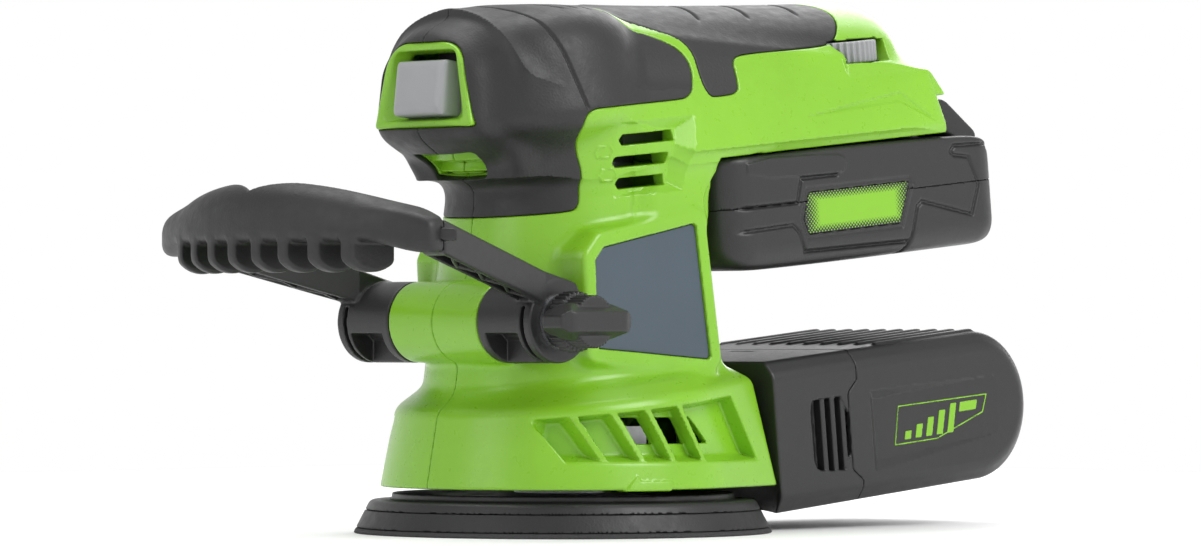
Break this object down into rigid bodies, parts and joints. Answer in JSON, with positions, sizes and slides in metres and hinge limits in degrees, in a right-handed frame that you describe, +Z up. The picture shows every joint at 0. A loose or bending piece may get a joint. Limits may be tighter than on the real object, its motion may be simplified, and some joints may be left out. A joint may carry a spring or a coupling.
{
  "type": "random orbital sander",
  "caption": "Cordless random orbital sander with a round hook-faced pad, tilting loop front handle, slide-in battery and pull-off dust box.",
  "frame": {"origin": "on the working face of the pad, where the motor axis meets the surface that the pad rests on", "axes": "+Z up along the motor axis, -X towards the loop handle and trigger, +X towards the battery and dust box"},
  "size_m": [0.2899, 0.1249, 0.1616],
  "materials": {
    "green_shell": "moulded plastic with a fine satin grain",
    "soft_rubber": "matt fine-grained overmould",
    "black_plastic": "fine textured moulding",
    "dark_plastic": "satin moulding",
    "button_grey": "satin moulding",
    "panel_slate": "smooth satin panel",
    "label_green": "printed film",
    "steel": "turned and ground",
    "motor_steel": "plated sheet",
    "ferrite": "pressed ferrite",
    "copper": "copper",
    "brass": "machined",
    "zinc": "die cast",
    "board_green": "solder mask",
    "wire_red": "insulation",
    "foam": "moulded foam",
    "hook_fabric": "hook pile",
    "filter_paper": "pleated paper",
    "cell_wrap": "shrink sleeve",
    "carbon": "pressed carbon"
  },
  "bodies": {
    "tool": {"housing_left": "green_shell", "housing_right": "green_shell", "head_overmould_left": "soft_rubber", "head_overmould_right": "soft_rubber", "rear_grip_left": "soft_rubber", "rear_grip_right": "soft_rubber", "trigger_bezel": "green_shell", "trigger_spring": "steel", "power_switch": "dark_plastic", "speed_potentiometer": "dark_plastic", "label_panel_left": "panel_slate", "label_panel_right": "panel_slate", "housing_screws": "steel", "control_board": "board_green", "terminal_block": "dark_plastic", "motor_can": "motor_steel", "motor_magnets": "ferrite", "motor_end_cap": "dark_plastic", "carbon_brushes": "carbon", "motor_bearing_lower": "steel", "motor_bearing_upper": "steel", "motor_leads": "wire_red", "fan_shroud": "dark_plastic", "brake_ring": "soft_rubber"},
    "trigger": {"trigger_button": "button_grey"},
    "dial": {"speed_dial": "button_grey"},
    "rotor": {"motor_shaft": "steel", "armature_core": "motor_steel", "armature_windings": "copper", "commutator": "copper", "fan": "dark_plastic", "eccentric_hub": "zinc", "eccentric_bearing": "steel"},
    "pad": {"pad_spindle": "steel", "pad_plate": "black_plastic", "pad_foam": "foam", "pad_hook_face": "hook_fabric", "pad_screws": "steel"},
    "dust_cap": {"dust_box_cap": "black_plastic", "dust_box_seal": "soft_rubber", "dust_filter": "filter_paper"},
    "dust_shell": {"dust_box_shell": "black_plastic", "dust_box_labels": "label_green"},
    "battery": {"battery_case_bottom": "black_plastic", "battery_case_top": "black_plastic", "battery_cells": "cell_wrap", "battery_cell_holders": "dark_plastic", "battery_board": "board_green", "battery_terminals": "brass", "battery_latch_spring": "steel", "battery_labels": "label_green"},
    "battery_latch": {"battery_latch": "dark_plastic"},
    "handle": {"handle_frame": "black_plastic", "handle_grip": "soft_rubber", "clamp_bolt": "steel"},
    "washer": {"clamp_washer": "steel"},
    "knob": {"clamp_knob": "black_plastic", "knob_insert": "brass"}
  },
  "joints": [
    {"name": "motor_spin", "type": "hinge", "parent": "tool", "child": "rotor", "pos_m": [0, 0, 0.08], "axis": [0, 0, 1], "continuous": true},
    {"name": "pad_spin", "type": "hinge", "parent": "rotor", "child": "pad", "pos_m": [0.00085, 0.00085, 0.01], "axis": [0, 0, 1], "continuous": true},
    {"name": "trigger_press", "type": "slide", "parent": "tool", "child": "trigger", "axis": [0.9934, 0, -0.1149], "range_m": [0, 0.0025], "stiffness_N_per_m": 900, "springref_m": -0.002},
    {"name": "speed_dial_turn", "type": "hinge", "parent": "tool", "child": "dial", "pos_m": [0.0948, -0.0215, 0.14532], "axis": [-0.1011, 0, 0.9949], "range_deg": [0, 270]},
    {"name": "dust_box_slide", "type": "slide", "parent": "tool", "child": "dust_cap", "axis": [0.9949, 0, 0.1011], "range_m": [0, 0.06]},
    {"name": "dust_shell_slide", "type": "slide", "parent": "dust_cap", "child": "dust_shell", "axis": [0.9949, 0, 0.1011], "range_m": [0, 0.05]},
    {"name": "battery_slide", "type": "slide", "parent": "tool", "child": "battery", "axis": [0.9949, 0, 0.1011], "range_m": [0, 0.13]},
    {"name": "battery_latch_press", "type": "slide", "parent": "battery", "child": "battery_latch", "axis": [0.1011, 0, -0.9949], "range_m": [0, 0.002], "stiffness_N_per_m": 900, "springref_m": -0.002},
    {"name": "handle_tilt", "type": "hinge", "parent": "tool", "child": "handle", "pos_m": [-0.0405, 0, 0.0626], "axis": [0, 1, 0], "range_deg": [-30, 35]},
    {"name": "washer_slide", "type": "slide", "parent": "handle", "child": "washer", "axis": [0, -1, 0], "range_m": [0, 0.00187]},
    {"name": "knob_turn", "type": "hinge", "parent": "washer", "child": "knob", "pos_m": [-0.0405, -0.05, 0.0626], "axis": [0, -1, 0], "range_deg": [0, 540]}
  ],
  "couplings": [
    {"joint": "knob_turn", "follows": "washer_slide", "rad_per_m": 5026.5}
  ]
}
